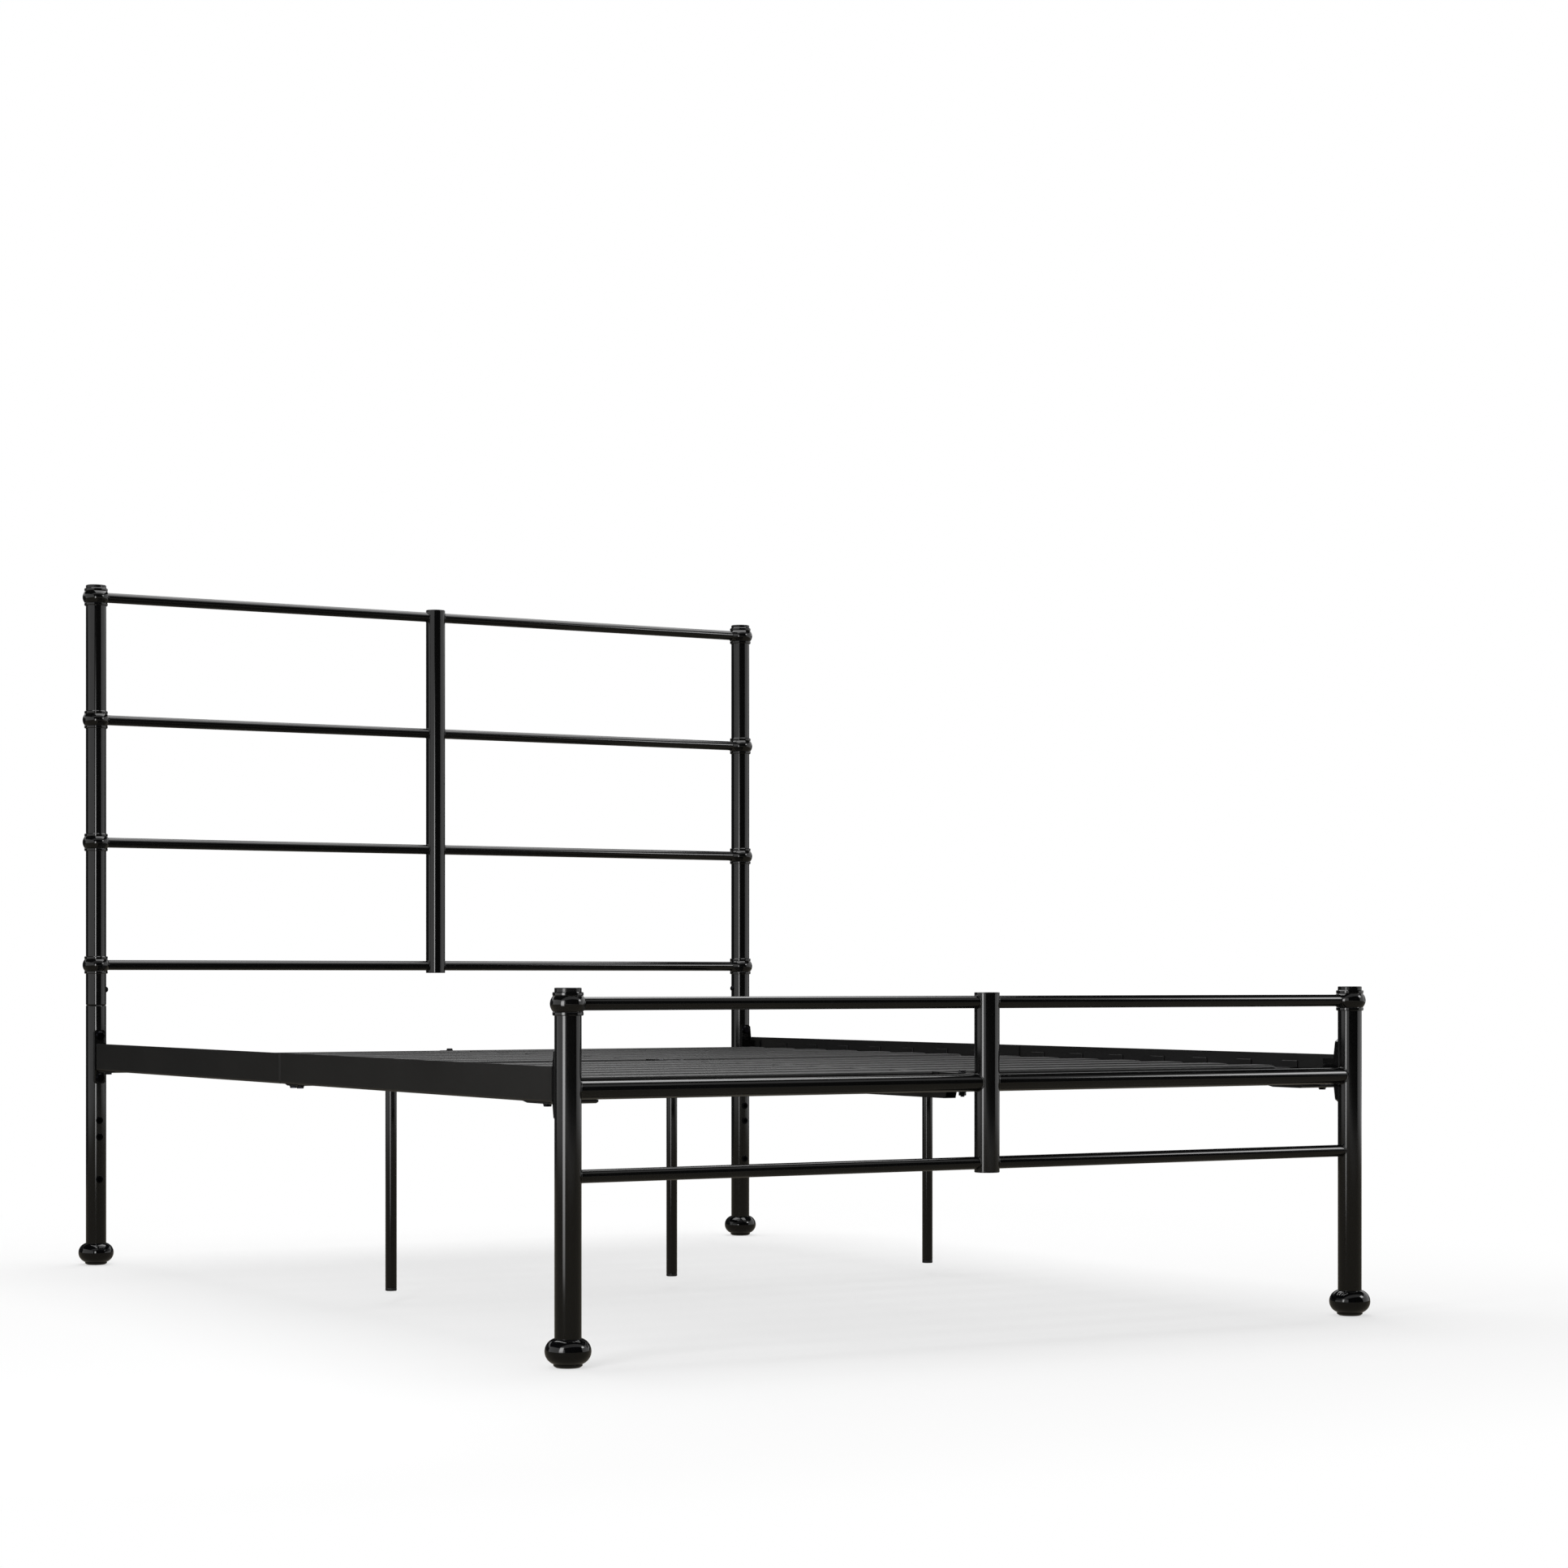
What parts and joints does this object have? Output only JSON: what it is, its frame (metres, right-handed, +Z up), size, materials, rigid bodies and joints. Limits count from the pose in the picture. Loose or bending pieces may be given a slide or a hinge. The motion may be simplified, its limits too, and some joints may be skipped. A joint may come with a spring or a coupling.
{
  "type": "metal bed frame",
  "caption": "Black steel bed frame for a full-size mattress: tubular headboard and footboard with turned collars and ball feet, and a slatted deck on bolted side rails.",
  "frame": {"origin": "on the floor, under the middle of the bed", "axes": "+X across the bed to the right seen from the foot, +Y along the bed to the headboard, +Z up"},
  "size_m": [1.4754, 2.0204, 1.286],
  "materials": {
    "tube_paint": "gloss black powder coat on steel tube",
    "collar_paint": "gloss black powder coat on cast collars",
    "deck_paint": "satin black powder coat on formed steel sheet",
    "ball_foot_gloss": "gloss black moulded foot",
    "cap_plastic": "gloss black moulded cap",
    "black_fastener": "black oxide steel",
    "glide_nylon": "matte black nylon foot"
  },
  "bodies": {
    "frame": {"ball_foot_foot_left": "ball_foot_gloss", "ball_foot_foot_right": "ball_foot_gloss", "ball_foot_head_left": "ball_foot_gloss", "ball_foot_head_right": "ball_foot_gloss", "center_leg_left": "tube_paint", "center_leg_middle": "tube_paint", "center_leg_right": "tube_paint", "center_rail_foot": "deck_paint", "center_rail_head": "deck_paint", "center_strap": "deck_paint", "center_tube_plugs": "cap_plastic", "deck_bolts": "black_fastener", "end_beam_foot": "deck_paint", "end_beam_head": "deck_paint", "foot_center_tube": "tube_paint", "foot_post_left": "tube_paint", "foot_post_right": "tube_paint", "foot_rail_belt": "tube_paint", "foot_rail_low": "tube_paint", "foot_rail_top": "tube_paint", "frame_bolts": "black_fastener", "head_center_tube": "tube_paint", "head_leg_left": "tube_paint", "head_leg_right": "tube_paint", "head_post_left": "tube_paint", "head_post_right": "tube_paint", "head_rail_bottom": "tube_paint", "head_rail_lower": "tube_paint", "head_rail_top": "tube_paint", "head_rail_upper": "tube_paint", "leg_beam": "deck_paint", "post_caps": "cap_plastic", "post_collars": "collar_paint", "rail_bracket_foot_left": "tube_paint", "rail_bracket_foot_right": "tube_paint", "rail_bracket_head_left": "tube_paint", "rail_bracket_head_right": "tube_paint", "rivet_nuts": "black_fastener", "side_rail_foot_left": "deck_paint", "side_rail_foot_right": "deck_paint", "side_rail_head_left": "deck_paint", "side_rail_head_right": "deck_paint", "slat_01": "deck_paint", "slat_02": "deck_paint", "slat_03": "deck_paint", "slat_04": "deck_paint", "slat_05": "deck_paint", "slat_06": "deck_paint", "slat_07": "deck_paint", "slat_08": "deck_paint", "slat_09": "deck_paint", "slat_10": "deck_paint", "slat_11": "deck_paint", "slat_12": "deck_paint", "slat_13": "deck_paint", "slat_14": "deck_paint"},
    "glide_left": {"leveling_glide_left": "glide_nylon"},
    "glide_middle": {"leveling_glide_middle": "glide_nylon"},
    "glide_right": {"leveling_glide_right": "glide_nylon"}
  },
  "joints": [
    {"name": "glide_left_lift", "type": "slide", "parent": "frame", "child": "glide_left", "axis": [0, 0, 1], "range_m": [-0.0204, 0]},
    {"name": "glide_middle_lift", "type": "slide", "parent": "frame", "child": "glide_middle", "axis": [0, 0, 1], "range_m": [-0.0204, 0]},
    {"name": "glide_right_lift", "type": "slide", "parent": "frame", "child": "glide_right", "axis": [0, 0, 1], "range_m": [-0.0204, 0]}
  ]
}
